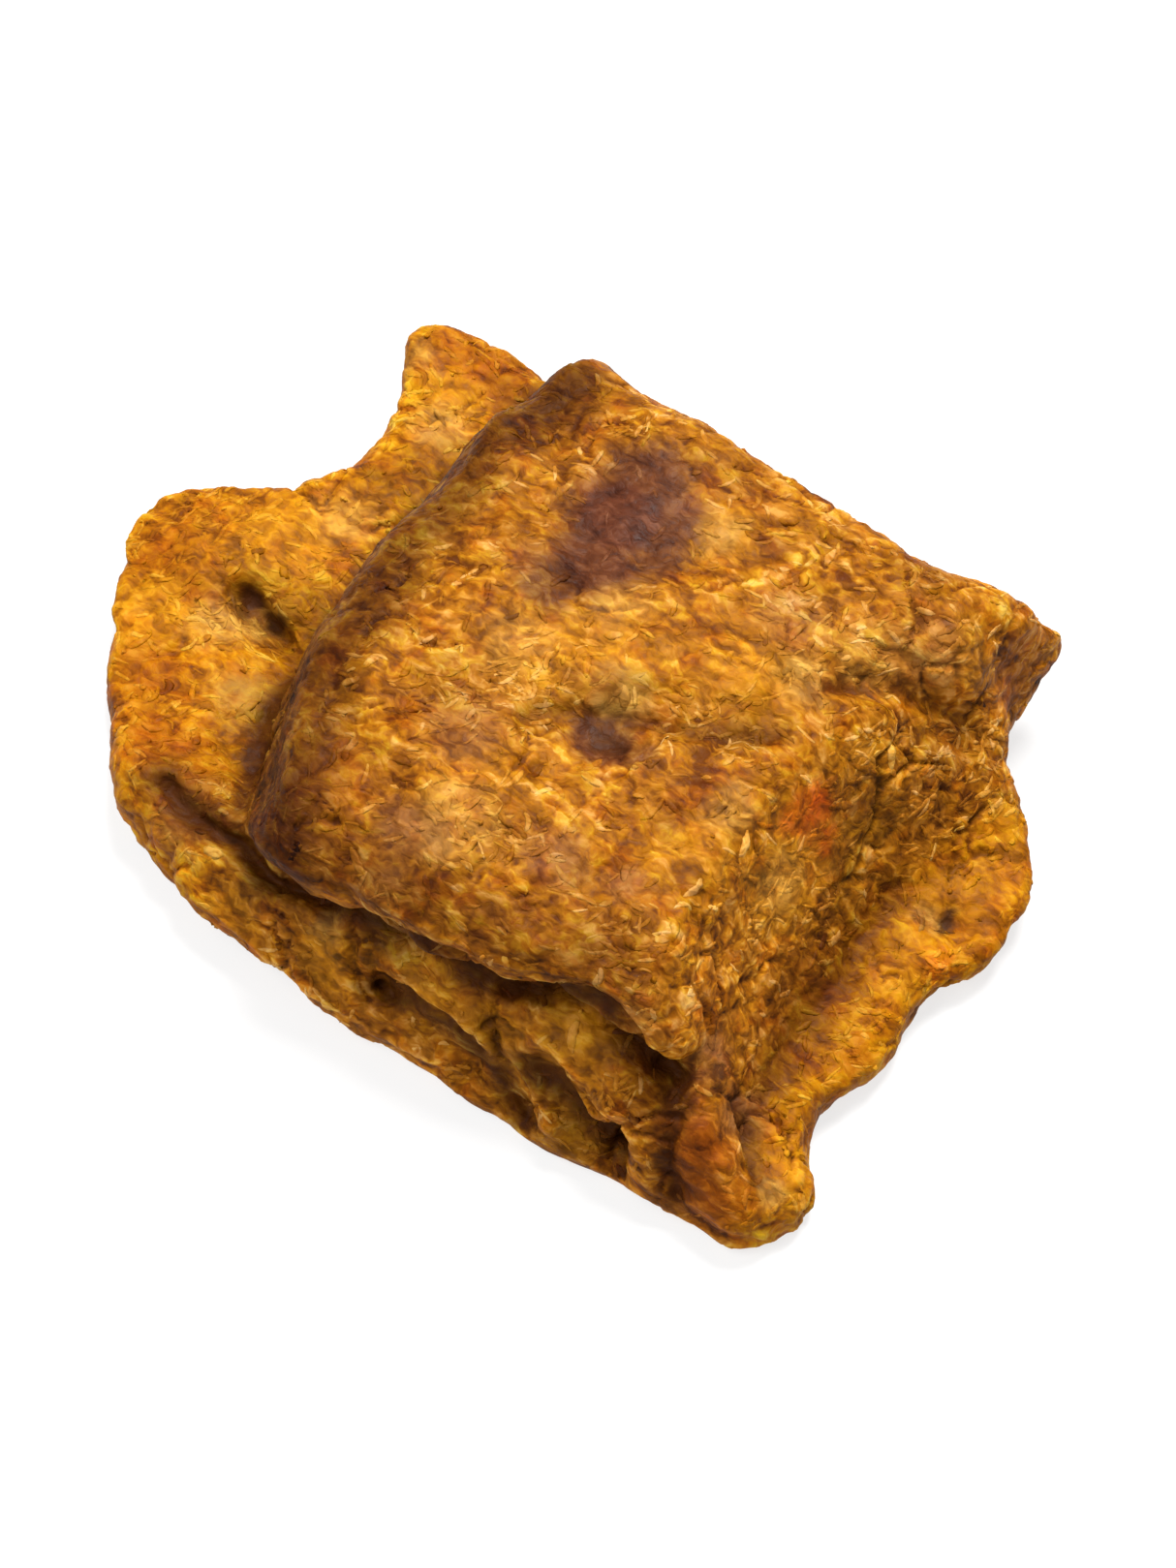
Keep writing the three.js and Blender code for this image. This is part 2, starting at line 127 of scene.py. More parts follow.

# Patches of the skin by kind: the pixel of the photograph, the radius in millimetres, and how strong.
PATCHES = {
    "scab": [
        (1026, 815, 2.5, 0.9), (1030, 824, 2.3, 0.9), (1019, 823, 3.0, 1.0), (1012, 836, 2.5, 0.95),
        (1001, 841, 1.9, 0.7), (1027, 833, 2.0, 0.8), (1012, 819, 1.8, 0.6), (1011, 883, 1.3, 0.9),
        (1017, 885, 1.4, 0.9), (1022, 887, 1.0, 0.7),
    ],
    "red": [(1070, 902, 1.3, 0.95), (1064, 904, 0.9, 0.7), (1073, 910, 0.9, 0.6), (1103, 943, 0.7, 0.6)],
    "rust": [
        (898, 831, 2.4, 0.5), (979, 781, 1.9, 0.8), (986, 787, 1.5, 0.7), (893, 866, 2.0, 0.9),
        (892, 883, 2.2, 0.9), (1042, 1008, 2.2, 0.9), (1038, 990, 1.5, 0.7), (1122, 868, 2.0, 0.6),
        (1129, 857, 1.5, 0.7), (941, 893, 2.4, 0.5), (1043, 953, 1.5, 0.5), (1082, 969, 1.0, 0.6),
        (1113, 931, 1.4, 0.4), (965, 850, 1.8, 0.35), (905, 895, 1.6, 0.5),
    ],
    # meat of a yellow-brown hue, and on the front painted light where it lies in shade
    "gold_and_light": [
        (929, 830, 2.6, 0.8), (893, 848, 2.0, 0.7), (915, 833, 1.8, 0.5), (1046, 829, 1.5, 0.8),
        (1123, 916, 1.6, 0.6), (1122, 905, 1.4, 0.5), (1108, 925, 2.0, 0.7), (1061, 998, 1.6, 0.9),
        (1055, 865, 2.6, 0.8), (1000, 862, 2.4, 0.6), (985, 893, 2.2, 0.5), (1092, 945, 2.0, 0.5),
        (1018, 860, 2.2, 0.6), (1040, 915, 2.0, 0.6), (1006, 960, 2.2, 0.8), (973, 793, 1.6, 0.6),
        (986, 962, 1.8, 0.7), (968, 950, 1.8, 0.7), (940, 941, 1.6, 0.7), (1012, 985, 1.8, 0.6),
        (1061, 922, 2.8, 0.8), (1085, 891, 1.8, 0.5), (1108, 860, 2.2, 0.5), (918, 928, 1.4, 0.5),
        (1041, 985, 1.2, 0.4), (972, 975, 1.4, 0.5),
    ],
    "pale": [
        (971, 800, 1.5, 0.8), (965, 781, 1.1, 0.6), (946, 824, 1.6, 0.5), (911, 852, 1.6, 0.7),
        (917, 872, 1.4, 0.6), (1045, 828, 1.0, 0.9), (1018, 872, 1.6, 0.8), (1068, 867, 1.4, 0.7),
        (1048, 901, 1.3, 0.6), (1101, 931, 0.8, 0.8), (1059, 1004, 0.8, 0.8), (941, 933, 1.0, 0.6),
        (1036, 986, 0.7, 0.6), (975, 905, 2.2, 0.5), (1084, 861, 1.8, 0.4), (921, 852, 1.6, 0.6),
        (1018, 846, 1.6, 0.45), (990, 858, 2.0, 0.4), (1061, 922, 1.5, 0.4),
    ],
    "mauve": [
        (960, 907, 1.5, 0.8), (968, 909, 1.1, 0.6), (1001, 914, 1.6, 0.8), (1021, 922, 1.0, 0.8),
        (1101, 860, 2.0, 0.7), (1023, 958, 1.3, 0.4), (1043, 968, 1.3, 0.8), (1050, 984, 1.5, 0.9),
        (901, 905, 1.6, 0.7), (977, 880, 2.0, 0.7), (1064, 851, 1.8, 0.6), (993, 835, 1.1, 0.6),
        (955, 921, 1.4, 0.5),
    ],
    "olive": [
        (933, 848, 2.0, 0.7), (920, 873, 1.7, 0.7), (917, 884, 1.6, 0.7), (960, 813, 1.8, 0.7),
        (972, 810, 1.6, 0.5), (1085, 905, 2.2, 0.6), (1080, 917, 2.0, 0.6), (957, 938, 1.8, 0.6),
        (1023, 868, 1.0, 0.8), (1052, 880, 1.4, 0.5), (1003, 992, 1.8, 0.6),
    ],
    # dark spots of the meat, and painted shade along the lip's crease, the slope's foot and the ear fold
    "dark": [
        (930, 908, 2.0, 1.0), (941, 914, 1.6, 0.8), (952, 918, 1.3, 0.6), (1071, 946, 2.2, 0.75),
        (1075, 930, 2.0, 0.25), (1063, 955, 1.9, 0.7), (952, 919, 1.8, 0.6), (966, 925, 1.8, 0.7),
        (985, 935, 1.8, 0.6), (1003, 943, 1.5, 0.6), (1083, 897, 1.6, 0.6), (1027, 975, 1.5, 0.7),
        (1060, 832, 0.9, 0.7), (1007, 865, 0.6, 0.7), (1032, 905, 0.7, 0.6), (1057, 968, 2.0, 0.35),
        (948, 886, 2.0, 0.35), (1036, 920, 0.7, 0.7), (1014, 868, 1.0, 0.7), (905, 896, 3.2, 0.5),
        (913, 906, 2.0, 0.5), (1005, 797, 2.4, 0.6), (1016, 885, 1.0, 0.6), (990, 935, 2.0, 0.4),
        (972, 926, 2.0, 0.4), (927, 903, 2.6, 0.9), (945, 913, 1.8, 0.6), (1014, 938, 2.4, 0.7),
        (1008, 925, 1.6, 0.3), (1104, 888, 1.8, 0.4), (1002, 842, 1.8, 0.5), (1049, 812, 1.8, 0.4),
        (1108, 922, 2.4, 0.3), (990, 903, 1.6, 0.3), (1100, 836, 2.0, 0.6), (1032, 958, 1.3, 0.4),
        (990, 789, 1.6, 0.5), (992, 824, 2.2, 0.35), (971, 865, 2.0, 0.25), (1106, 883, 1.6, 0.35),
        (957, 927, 1.6, 0.4), (1010, 800, 2.2, 0.3),
    ],
    # painted shade inside the holes and pits
    "hole": [
        (920, 845, 0.8, 1.0), (927, 852, 0.7, 0.8), (1105.5, 932.6, 0.7, 0.9), (1012.5, 883, 0.7, 0.5),
        (1018, 884.5, 0.7, 0.5),
    ],
    "knob": [(1038.5, 991, 2.1, 1.0), (1040, 1003, 1.8, 0.8)],
}
SOFT_EDGE = (0.35, 1.35)  # a patch fades between these shares of its radius
PATCH_EDGES = {"scab": (0.5, 1.25), "hole": (0.6, 1.1)}
SMOOTHER = {"scab": 0.75, "knob": 0.55}  # patches with less grain

# The wall over the wide flap and the slope over the narrow one, seen from above, as in the solid.
WALL = {"foot": -14.8, "middle": 2.5, "bow": 0.8, "pull": 1.7, "pull_from": -3, "pull_to": -11}
SLOPE = {"shoulder": 8.6, "run": 6.6, "middle": -1.5, "bow": 1.9}
BOW_LENGTH = 10.0
WALL_LINE = {"half": 0.7, "depth": 0.5, "dark": 0.7}  # the pressed line along the wall's foot; dark is how dark its painted shade is
WALL_LINE_HEIGHTS = (1.0, 2.0, 5.5, 7.0)  # it comes in and goes out between these heights
WALL_LINE_ENDS = (-11.5, -9.5, 16.0, 17.5)  # and between these places along Y

# Painted shade bands, where shade falls. The wall's comes in and goes out by how far a place lies past the
# foot. Low down it ends towards the front, and it fades as the skin turns to the back.
WALL_SHADE_BAND = (-1.0, 0.3, 4.0, 6.8)
WALL_SHADE_BAND_LOW = (5.0, 7.0)
WALL_SHADE_BAND_FRONT = (-11.5, -8.5)
WALL_SHADE_BAND_BACK = (0.3, 0.8)
# Those of the lip and the crease fade between these distances.
LIP_SHADE_BAND = (0.6, 2.5)
LIP_SHADE_SHARE = 0.35
CREASE_SHADE_BAND = (0.6, 1.6)
CREASE_SHADE_SHARE = 0.45

# The flaps end between these distances from the wall's foot and the slope's end, and these heights.
FLAP_WALL = (-0.4, 0.7)
FLAP_SLOPE = (-1.8, 0.2)
FLAP_HEIGHTS = (3.6, 5.4)
FRONT = (-8.0, -11.0)  # the pleated front lies past these places along Y
# How steep the skin is, from 0 for level to 1 for upright, where each kind of side comes in.
FRONT_STEEP = (0.4, 0.8)
WALL_STEEP = (0.12, 0.6)
RIM_STEEP = (0.35, 0.85)

# How places stray before a form is looked up: how far, the wavelength and the seed.
LINE_STRAY = [(0.25, 1.4, 40)]
CREASE_STRAY = [(0.3, 1.1, 44)]
SHADE_BAND_STRAY = [(0.5, 1.6, 56), (0.9, 4.5, 59)]
PATCH_STRAY = [(0.5, 1.4, 90), (0.3, 0.5, 95)]
PEBBLE_STRAY = [(0.5, 2.1, 3), (0.12, 0.7, 6)]
CRACK_STRAY = [(0.8, 2.4, 65), (0.15, 0.6, 68)]
RIDGE_STRAY = (0.6, 4.0)

# Ripples: depth, wavelength and seed.
FLAP_WALL_RIPPLE = (0.5, 1.6, 51)
FLAP_SLOPE_RIPPLE = (0.8, 1.8, 52)
WALL_STEEP_RIPPLE = (0.08, 1.7, 47)
ROUGH_RIPPLE = (0.35, 5.0, 48)
HEADING_RIPPLE = (1.5, 5.0, 101)
LUMPS = [(0.26, 4.4, 10), (0.17, 2.3, 11)]
GRAIN = (0.03, 0.45, 71)
RIM_CRUMBLE = (0.14, 2.2, 77)

# Patchwork: the noise's limits, wavelength and seed.
PEBBLE_PATCHWORK = (-0.2, 0.2, 3.3, 21)
CRACK_PATCHWORK = (0.05, 0.35, 3.0, 70)
FIBRE_PATCHWORK = (-0.3, 0.3, 3.0, 49)

# Relief of the skin.
ROUGH_MEAN = 0.75
PEBBLES = [{"size": 2.1, "depth": 0.16, "tone": 0.9, "seed": 30},
           {"size": 1.05, "depth": 0.075, "tone": 0.7, "seed": 40}]
PEBBLE_FORM = {"dome": 0.6, "gap": 0.6, "gap_width": 0.32, "sunk": 0.75}
PEBBLE_SPACING = 0.75  # pebbles lie this many times their size apart
PEBBLE_STRETCH = 0.55  # they are this many times as wide as they are long
FRONT_PEBBLES = 0.45  # they are lower by this share on the pleated front
CRACKS = {"size": 3.4, "half": 0.055, "depth": 0.30, "seed": 64}
FIBRES = {"wave": 0.70, "stretch": 0.28, "depth": 0.06, "seed": 120}
FOLDS = {"wave": 1.2, "stretch": 0.3, "depth": 0.2, "seed": 130}  # pressed lines along the front
RIDGE_SEED_STEP = 5
# What lies deeper than the skin smoothed over some rounds, by up to depth, is a hollow or a small pit.
# The material paints shade into both, and a painted highlight onto small rises.
HOLLOW = {"rounds": 60, "depth": 0.5}
CAVITY = {"rounds": 6, "depth": 0.10}

# The strands, flecks and crumbs of mince that lie in the skin. bare is the share left off its smooth marks,
# wall the share left off its sides, and least how many lie between their drifts.
STRANDS = {"count": 420, "length": (0.7, 1.6), "half_width": (0.13, 0.26), "half_height": (0.05, 0.10),
           "lift": -0.02, "turn": 1.3, "scatter": 1.2, "bare": 0.9, "wall": 0.5, "least": 0.3,
           "drifts": (-0.3, 0.4, 2.8, 111)}
FLECKS = {"count": 2300, "length": (0.45, 1.15), "half_width": (0.07, 0.15), "half_height": (0.02, 0.04),
          "lift": -0.004, "turn": 0.7, "scatter": 0.6, "bare": 0.85, "wall": 0.3, "least": 0.15,
          "drifts": (-0.1, 0.6, 3.6, 112)}
RINGS = 7  # of each strand and fleck
SIDES = 6
STRAND_TINT = (0.05, 0.28)  # the mean and the spread
FLECK_TINT = (1.6, 2.4)  # the beta distribution's two numbers
END_TAPER = 0.9
UNEVEN = (0.75, 1.2)
CRUMBS = {"count": 150, "radius": (0.08, 0.16), "lift": -0.2, "bare": 0.9, "least": 0.4, "flap": 0.6,
          "stretch": (0.6, 1.25), "rough": 0.22, "tint": (-0.05, 0.4), "subdivisions": 2}
PART_HEIGHT = 0.5  # they all lie above this height
EDGE_SHARE = 0.97  # this share of them is left off the rims
STEEP_EDGE = 0.35  # and upright skin counts this much as a rim
STEEP_LIMITS = (0.4, 0.9)
SHADE_BAND_LEFT_OFF = 0.6  # this share is left off the painted shade bands

rng = np.random.default_rng(SEED)


def srgb(red, green, blue):
    """Linear colour of an sRGB colour given from 0 to 255, by the numbers of that standard."""
    def linear(value):
        share = value / 255
        return share / 12.92 if share <= 0.04045 else ((share + 0.055) / 1.055) ** 2.4
    return (linear(red), linear(green), linear(blue), 1.0)


# Noise in space

HASH_PRIMES = np.array([73856093, 19349663, 83492791], np.int64)
SEED_PRIME = 2654435761
HASH_MULTIPLIERS = (0xFF51AFD7ED558CCD, 0xC4CEB9FE1A85EC53)
HASH_SHIFT = np.uint64(33)
FRACTION_BITS = 53
NOISE_GAIN = 1.5  # brings the noise to about -1 to 1
FAR = 9.0  # farther than any scattered point
CUBE_CORNERS = np.array([[c & 1, (c >> 1) & 1, c >> 2] for c in range(8)])
CUBE_NEIGHBOURS = np.array([[x, y, z] for x in (-1, 0, 1) for y in (-1, 0, 1) for z in (-1, 0, 1)])


def lattice_random(cells, seed, count):
    """count random numbers from 0 to 1 for each cell of a lattice."""
    state = (cells @ HASH_PRIMES + seed * SEED_PRIME).astype(np.uint64)
    numbers = []
    for _ in range(count):
        for multiplier in HASH_MULTIPLIERS:
            state = (state ^ (state >> HASH_SHIFT)) * np.uint64(multiplier)
        state ^= state >> HASH_SHIFT
        numbers.append((state >> np.uint64(64 - FRACTION_BITS)).astype(float) / 2.0**FRACTION_BITS)
    return np.stack(numbers, -1)


def noise(points, wave, seed):
    """Smooth noise from about -1 to 1, with lumps about one wave across."""
    place = np.asarray(points, float) / wave
    cell = np.floor(place).astype(np.int64)
    inside = place - cell
    fade = inside**3 * (inside * (inside * 6 - 15) + 10)
    total = np.zeros(len(place))
    for corner in CUBE_CORNERS:
        gradient = lattice_random(cell + corner, seed, 3) * 2 - 1
        slope = (gradient * (inside - corner)).sum(-1)
        total += slope * np.prod(np.where(corner, fade, 1 - fade), -1)
    return total * NOISE_GAIN


def noise_vector(points, wave, seed):
    return np.stack([noise(points, wave, seed + k) for k in range(3)], -1)


def scattered_cells(points, size, seed):
    """For points scattered one to a cube: how far off the nearest and the next are, and its random tone."""
    place = np.asarray(points, float) / size
    cell = np.floor(place).astype(np.int64)
    first = np.full(len(place), FAR)
    second = first.copy()
    tone = np.zeros(len(place))
    for neighbour in CUBE_NEIGHBOURS:
        numbers = lattice_random(cell + neighbour, seed, 4)
        away = np.linalg.norm(place - cell - neighbour - numbers[:, :3], axis=-1)
        second = np.minimum(second, np.maximum(first, away))
        tone = np.where(away < first, numbers[:, 3], tone)
        first = np.minimum(first, away)
    return first, second, tone


def smoothstep(low, high, value):
    share = np.clip((value - low) / (high - low), 0, 1)
    return share * share * (3 - 2 * share)


def between(value, limits):
    """Comes in between the first two limits and goes out between the last two."""
    start, full, end, gone = limits
    return smoothstep(start, full, value) * (1 - smoothstep(end, gone, value))


def bell(value):
    return np.exp(-value * value)


def strayed(places, strays):
    """The places, moved about by one noise or more."""
    moved = places
    for amount, wave, seed in strays:
        moved = moved + amount * noise_vector(places, wave, seed)
    return moved


def ripple(places, depth, wave, seed):
    return depth * noise(places, wave, seed)


def patchwork(places, low, high, wave, seed):
    """0 and 1 in patches with soft edges."""
    return smoothstep(low, high, noise(places, wave, seed))


# The camera and the photograph's pixels

def direction(azimuth, elevation):
    """Where the place at an azimuth and an elevation, in degrees, lies from the middle."""
    turn, rise = math.radians(azimuth), math.radians(elevation)
    return np.array([math.sin(turn) * math.cos(rise), -math.cos(turn) * math.cos(rise), math.sin(rise)])


def view_axes():
    """Right, up and back of the photograph's camera."""
    turn = math.radians(AZIMUTH)
    right = np.array([math.cos(turn), math.sin(turn), 0])
    back = direction(AZIMUTH, ELEVATION)
    return right, np.cross(back, right), back


def in_picture(pixel):
    """Place of a photograph's pixel on the plane through the camera's target."""
    right, up, _ = view_axes()
    across = (pixel[0] - PHOTO_ORIGIN[0]) / PHOTO_SCALE
    above = (PHOTO_ORIGIN[1] - pixel[1]) / PHOTO_SCALE
    return right * across + up * above


def camera_place():
    return in_picture(PHOTO_CENTRE) + view_axes()[2] * CAMERA_DISTANCE


def on_skin(tree, pixel):
    """Where the skin shows at a pixel of the photograph, or the skin nearest to its place there."""
    start = Vector(camera_place())
    target = Vector(in_picture(pixel))
    hit = tree.ray_cast(start, (target - start).normalized())[0]
    return np.array(hit if hit is not None else tree.find_nearest(target)[0])


def skin_path(tree, pixels):
    return np.array([on_skin(tree, pixel) for pixel in pixels])


def skin_lines(tree):
    """Each line as a path of points on the skin."""
    return [skin_path(tree, pixels) for pixels, *_ in LINES]


# Meshes as arrays, in millimetres

def rows(items, name, each=3, kind=np.float32):
    """What the items keep under a name, a row for each."""
    flat = np.empty(len(items) * each, kind)
    items.foreach_get(name, flat)
    return flat.reshape(-1, each)


def positions(mesh):
    return rows(mesh.vertices, "co").astype(float)


def set_positions(mesh, places):
    mesh.vertices.foreach_set("co", np.asarray(places, np.float32).ravel())
    mesh.update()


def normals(mesh):
    return rows(mesh.vertex_normals, "vector").astype(float)


def steepness(outward):
    return 1 - np.clip(outward[:, 2], 0, 1)


def edge_pairs(mesh):
    return rows(mesh.edges, "vertices", 2, np.int32)


def smoothed(places, edges, rounds, shares=PLAIN_SHARES):
    """Draws each vertex towards the mean of its neighbours, by each share in turn."""
    count = len(places)
    a, b = edges.T
    degree = np.bincount(edges.ravel(), minlength=count)[:, None]
    for _ in range(rounds):
        for share in shares:
            sums = [np.bincount(a, axis[b], count) + np.bincount(b, axis[a], count) for axis in places.T]
            places = places + share * (np.stack(sums, -1) / degree - places)
    return places


def depth_below(places, outward, edges, rounds, depth):
    """From -1 to 1, how far each place lies below the smoothed skin."""
    broad = smoothed(places, edges, rounds)
    return np.clip(((broad - places) * outward).sum(-1) / depth, -1, 1)


def path_distance(points, path):
    """Distance of each point from a path of straight stretches."""
    nearest = np.full(len(points), np.inf)
    for start, end in zip(path[:-1], path[1:]):
        run = end - start
        share = np.clip(((points - start) @ run) / max(run @ run, TINY), 0, 1)
        nearest = np.minimum(nearest, np.linalg.norm(points - start - share[:, None] * run, axis=-1))
    return nearest


def new_object(name, data):
    piece = bpy.data.objects.new(name, data)
    bpy.context.scene.collection.objects.link(piece)
    return piece


def apply_modifiers(piece):
    graph = bpy.context.evaluated_depsgraph_get()
    mesh = bpy.data.meshes.new_from_object(piece.evaluated_get(graph))
    piece.modifiers.clear()
    piece.data = mesh


def voxel_remesh(piece, voxel):
    modifier = piece.modifiers.new("remesh", "REMESH")
    modifier.mode = "VOXEL"
    modifier.voxel_size = voxel
    apply_modifiers(piece)


def shade_smooth(mesh):
    mesh.polygons.foreach_set("use_smooth", np.ones(len(mesh.polygons), bool))


def mesh_object(name, places, faces):
    mesh = bpy.data.meshes.new(name)
    mesh.from_pydata(np.asarray(places).tolist(), [], faces)
    shade_smooth(mesh)
    return new_object(name, mesh)


def add_attribute(mesh, name, values):
    attribute = mesh.attributes.new(name, "FLOAT", "POINT")
    attribute.data.foreach_set("value", np.asarray(values, np.float32))


def skin_tree(piece):
    corners = [vertex.co for vertex in piece.data.vertices]
    return BVHTree.FromPolygons(corners, [polygon.vertices for polygon in piece.data.polygons])


def skin_finder(piece):
    finder = KDTree(len(piece.data.vertices))
    for number, vertex in enumerate(piece.data.vertices):
        finder.insert(vertex.co, number)
    finder.balance()
    return finder


# Marks of the skin

def bowed(line, y):
    return line["bow"] * ((y - line["middle"]) / BOW_LENGTH) ** 2


def past_foot(places):
    """How far along X each place lies past the foot of the wall over the wide flap."""
    x, y, _ = places.T
    pull = WALL["pull"] * smoothstep(WALL["pull_from"], WALL["pull_to"], y)
    return x - WALL["foot"] - bowed(WALL, y) - pull


def foot_line(places):
    """1 along the foot of the wall over the wide flap."""
    _, y, z = places.T
    line = bell(past_foot(places) / WALL_LINE["half"])
    return line * between(z, WALL_LINE_HEIGHTS) * between(y, WALL_LINE_ENDS)


def flap_share(places):
    """1 on the two torn flaps and 0 on the body."""
    x, y, z = places.T
    past = past_foot(places) - ripple(places, *FLAP_WALL_RIPPLE)
    end = SLOPE["shoulder"] + bowed(SLOPE, y) + SLOPE["run"] + ripple(places, *FLAP_SLOPE_RIPPLE)
    past_slope = smoothstep(end + FLAP_SLOPE[0], end + FLAP_SLOPE[1], x)
    beside = np.maximum(1 - smoothstep(*FLAP_WALL, past), past_slope)
    return beside * (1 - smoothstep(*FLAP_HEIGHTS, z))


def patch_weights(places, tree):
    """How strongly each kind of patch shows at each place."""
    wandering = strayed(places, PATCH_STRAY)
    weights = {}
    for kind, patches in PATCHES.items():
        weights[kind] = np.zeros(len(places))
        for u, v, radius, strength in patches:
            away = np.linalg.norm(wandering - on_skin(tree, (u, v)), axis=-1) / radius
            faded = 1 - smoothstep(*PATCH_EDGES.get(kind, SOFT_EDGE), away)
            weights[kind] = np.maximum(weights[kind], strength * faded)
    return weights


def crease_shade_weight(places, paths):
    """How dark the painted shade of the pressed lines makes each place."""
    wandering = strayed(places, CREASE_STRAY)
    dark = np.zeros(len(places))
    for (_, half, _, strength), path in zip(LINES, paths):
        reach = half * SHADE_SPREAD
        dark = np.maximum(dark, strength * bell(path_distance(wandering, path) / reach))
    return np.maximum(dark, WALL_LINE["dark"] * foot_line(wandering))


def shade_band_weight(places, outward, tree):
    """Painted shade in bands: by the wall over the wide flap, on the lip's face and in the crease below it.
    """
    wandering = strayed(places, SHADE_BAND_STRAY)
    low = 1 - smoothstep(*WALL_SHADE_BAND_LOW, places[:, 2])
    reach = 1 - low * (1 - smoothstep(*WALL_SHADE_BAND_FRONT, wandering[:, 1]))
    reach *= 1 - smoothstep(*WALL_SHADE_BAND_BACK, outward[:, 1])
    wall = between(past_foot(wandering), WALL_SHADE_BAND) * reach
    lip = 1 - smoothstep(*LIP_SHADE_BAND, path_distance(wandering, skin_path(tree, LIP_FACE)))
    crease = 1 - smoothstep(*CREASE_SHADE_BAND, path_distance(wandering, skin_path(tree, CREASE)))
    return np.max((wall, LIP_SHADE_SHARE * lip, CREASE_SHADE_SHARE * crease), axis=0)


def skin_marks(places, outward, edges, tree):
    """What the relief and the material read at each place of the skin."""
    steep = steepness(outward)
    marks = patch_weights(places, tree)
    # painted shade along the pressed lines, and along the wall's foot
    marks["crease"] = crease_shade_weight(places, skin_lines(tree))
    marks["flap"] = flap_share(places)
    # painted shade bands by the wall, on the lip's face and in the crease
    marks["shade_band"] = shade_band_weight(places, outward, tree)
    # hollows: painted shade in the material, and where crumbs gather
    marks["hollow"] = depth_below(places, outward, edges, **HOLLOW)
    upright = smoothstep(*WALL_STEEP, steep + ripple(places, *WALL_STEEP_RIPPLE))
    marks["wall"] = upright * (1 - marks["flap"])
    marks["rim"] = smoothstep(*RIM_STEEP, steep) * marks["flap"]
    return marks


# Relief of the skin

def pebble_relief(places):
    """Rounded nubs of mince that lie two ways, in patches: their height and their tone."""
    warped = strayed(places, PEBBLE_STRAY)
    patch = patchwork(places, *PEBBLE_PATCHWORK)
    height = np.zeros(len(places))
    tone = np.zeros(len(places))
    ways = ((patch, np.array([PEBBLE_STRETCH, 1, 1])), (1 - patch, np.array([1, PEBBLE_STRETCH, 1])))
    for pebble in PEBBLES:
        spacing = pebble["size"] * PEBBLE_SPACING
        for way, (share, stretch) in enumerate(ways):
            first, second, own = scattered_cells(warped * stretch, spacing, pebble["seed"] + way)
            dome = PEBBLE_FORM["dome"] * (1 - np.clip(first, 0, 1) ** 2)
            gap = PEBBLE_FORM["gap"] * smoothstep(0, PEBBLE_FORM["gap_width"], second - first)
            height += share * pebble["depth"] * (dome + gap - PEBBLE_FORM["sunk"])
            tone += share * (own - 0.5) * pebble["tone"]
    return height, tone


def crack_depth(places):
    """Thin cracks that come and go."""
    first, second, _ = scattered_cells(strayed(places, CRACK_STRAY), CRACKS["size"], CRACKS["seed"])
    there = patchwork(places, *CRACK_PATCHWORK)
    return CRACKS["depth"] * there * bell((second - first) / CRACKS["half"])


def line_relief(places, wave, stretch, depth, seed):
    """Fine long ridges that lie along X, bent a little."""
    bent = strayed(places, [(*RIDGE_STRAY, seed)])
    ridged = 1 - np.abs(noise(bent * np.array([stretch, 1, 1]), wave, seed + RIDGE_SEED_STEP)) * 2
    return depth * ridged


def skin_relief(places, outward, marks):
    """How far the skin stands out at each place, and the tone of its pebbles."""
    front = smoothstep(*FRONT, places[:, 1]) * smoothstep(*FRONT_STEEP, steepness(outward))
    rough = 1 - sum(amount * marks[kind] for kind, amount in SMOOTHER.items())
    rough *= ROUGH_MEAN + ripple(places, *ROUGH_RIPPLE)
    pebbles, tone = pebble_relief(places)
    relief = pebbles * rough * (1 - FRONT_PEBBLES * front)
    relief += sum(ripple(places, *lump) for lump in LUMPS)
    relief -= crack_depth(places) * rough
    relief += line_relief(places, **FIBRES) * (rough * patchwork(places, *FIBRE_PATCHWORK))
    relief += line_relief(places, **FOLDS) * front
    relief += ripple(places, *GRAIN) * rough
    relief += ripple(places, *RIM_CRUMBLE) * marks["rim"]
    return relief * smoothstep(*RELIEF_HEIGHTS, places[:, 2]), tone


# The body

def rough_copy(node):
    """A smooth closed copy of the solid, in millimetres."""
    mesh = node.data.copy()
    mesh.transform(Matrix.Scale(1 / MM, 4))
    piece = new_object("meat_body", mesh)
    weld = piece.modifiers.new("weld", "WELD")
    weld.merge_threshold = WELD_DISTANCE
    apply_modifiers(piece)
    voxel_remesh(piece, ROUGH_VOXEL)
    places = positions(piece.data)
    smooth = smoothed(places, edge_pairs(piece.data), FACET_ROUNDS, FACET_SHARES)
    sole = 1 - smoothstep(0, SOLE_HEIGHT, places[:, 2])
    smooth[:, 2] += (places[:, 2] - smooth[:, 2]) * sole
    set_positions(piece.data, smooth)
    return piece


def carve_lines(piece, paths):
    """Presses the lines in and lets the folds stand out."""
    places = positions(piece.data)
    outward = normals(piece.data)
    wandering = strayed(places, LINE_STRAY)
    pressed = np.zeros(len(places))
    raised = np.zeros(len(places))
    for (_, half, depth, _), path in zip(LINES, paths):
        weight = bell(path_distance(wandering, path) / half)
        pressed = np.maximum(pressed, depth * weight)
        raised = np.minimum(raised, depth * weight)
    pressed = np.maximum(pressed, WALL_LINE["depth"] * foot_line(wandering))
    set_positions(piece.data, places - outward * (pressed + raised)[:, None])


